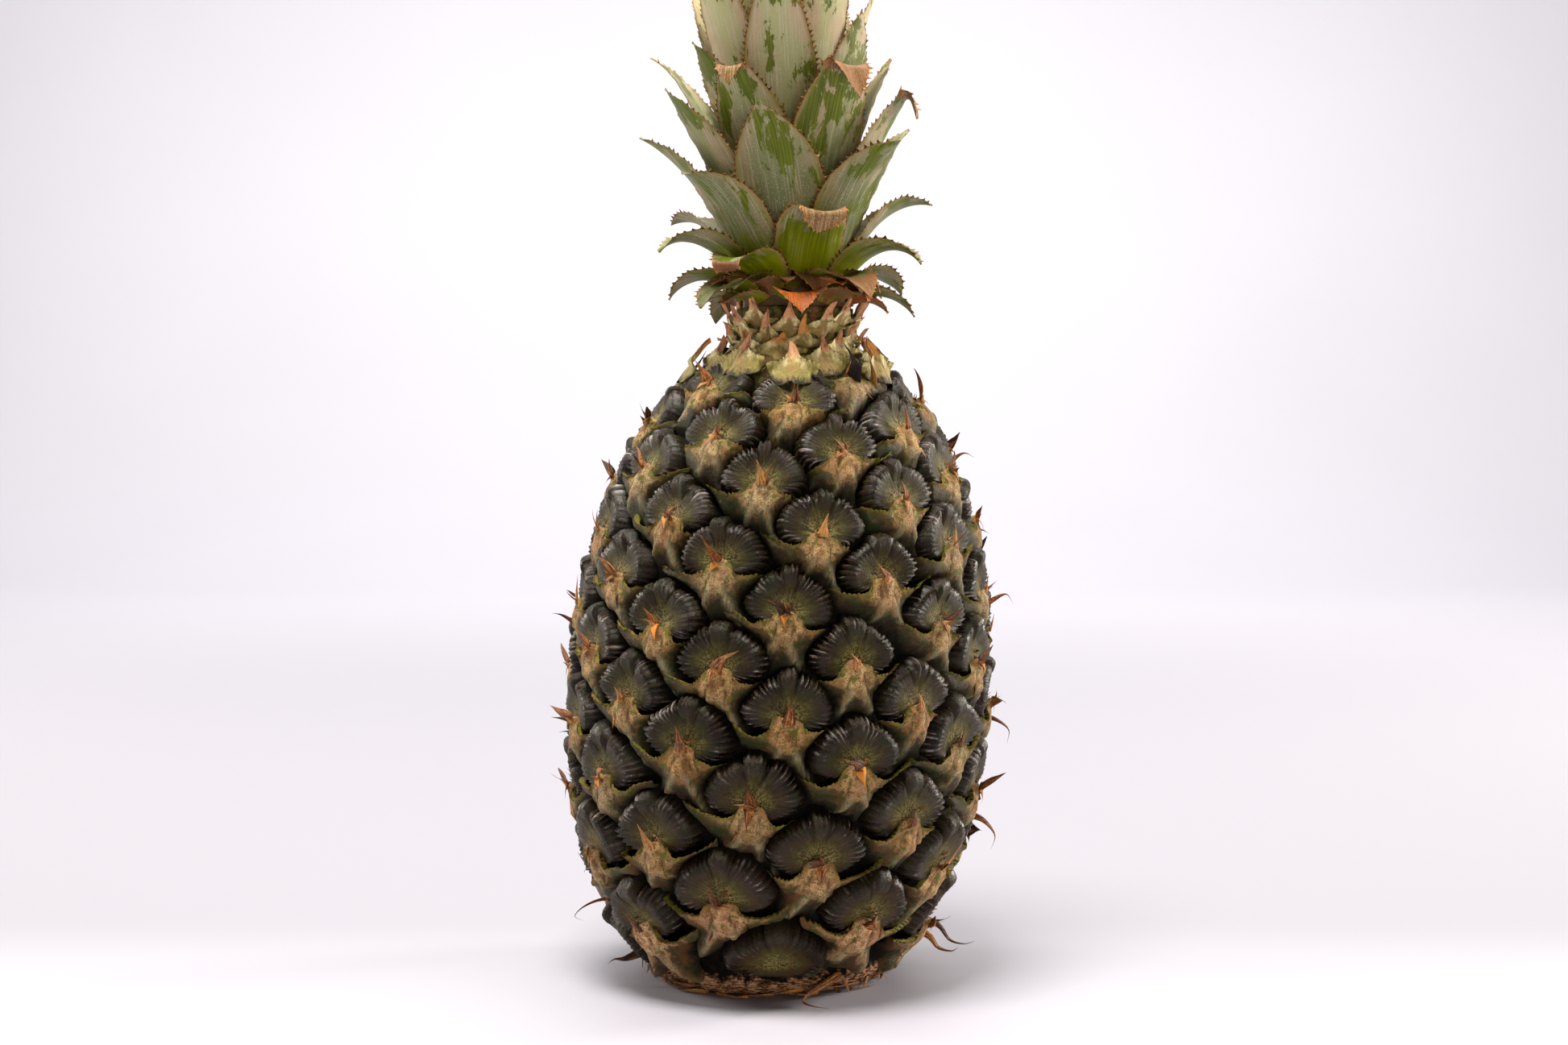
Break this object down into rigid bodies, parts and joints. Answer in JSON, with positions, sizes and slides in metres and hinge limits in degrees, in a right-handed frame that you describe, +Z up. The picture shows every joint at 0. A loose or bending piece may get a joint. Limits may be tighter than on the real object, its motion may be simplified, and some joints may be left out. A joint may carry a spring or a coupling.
{
  "type": "pineapple",
  "caption": "Whole unpeeled pineapple standing upright on its cut base, with scaly spined rind, a narrow neck and a leafy crown.",
  "frame": {"origin": "middle of the flat cut base that the fruit stands on", "axes": "+Z up along the fruit to the crown, -Y the front shown in the picture, +X to the right"},
  "size_m": [0.1283, 0.1275, 0.3226],
  "materials": {
    "rind": "waxy rind, dark domes with tan dried bracts",
    "crown_stem": "dull and fibrous",
    "crown_leaf": "waxy grey bloom over green"
  },
  "bodies": {
    "root": {"fruit": "rind", "crown_stem": "crown_stem", "leaf_01": "crown_leaf", "leaf_02": "crown_leaf", "leaf_03": "crown_leaf", "leaf_04": "crown_leaf", "leaf_05": "crown_leaf", "leaf_06": "crown_leaf", "leaf_07": "crown_leaf", "leaf_08": "crown_leaf", "leaf_09": "crown_leaf", "leaf_10": "crown_leaf", "leaf_11": "crown_leaf", "leaf_12": "crown_leaf", "leaf_13": "crown_leaf", "leaf_14": "crown_leaf", "leaf_15": "crown_leaf", "leaf_16": "crown_leaf", "leaf_17": "crown_leaf", "leaf_18": "crown_leaf", "leaf_19": "crown_leaf", "leaf_20": "crown_leaf", "leaf_21": "crown_leaf", "leaf_22": "crown_leaf", "leaf_23": "crown_leaf", "leaf_24": "crown_leaf", "leaf_25": "crown_leaf", "leaf_26": "crown_leaf", "leaf_27": "crown_leaf", "leaf_28": "crown_leaf", "leaf_29": "crown_leaf", "leaf_30": "crown_leaf", "leaf_31": "crown_leaf", "leaf_32": "crown_leaf", "leaf_33": "crown_leaf", "leaf_34": "crown_leaf", "leaf_35": "crown_leaf", "leaf_36": "crown_leaf", "leaf_37": "crown_leaf", "leaf_38": "crown_leaf", "leaf_39": "crown_leaf", "leaf_40": "crown_leaf", "leaf_41": "crown_leaf", "leaf_42": "crown_leaf", "leaf_43": "crown_leaf", "leaf_44": "crown_leaf", "leaf_45": "crown_leaf", "leaf_46": "crown_leaf", "leaf_47": "crown_leaf", "leaf_48": "crown_leaf"}
  },
  "joints": []
}
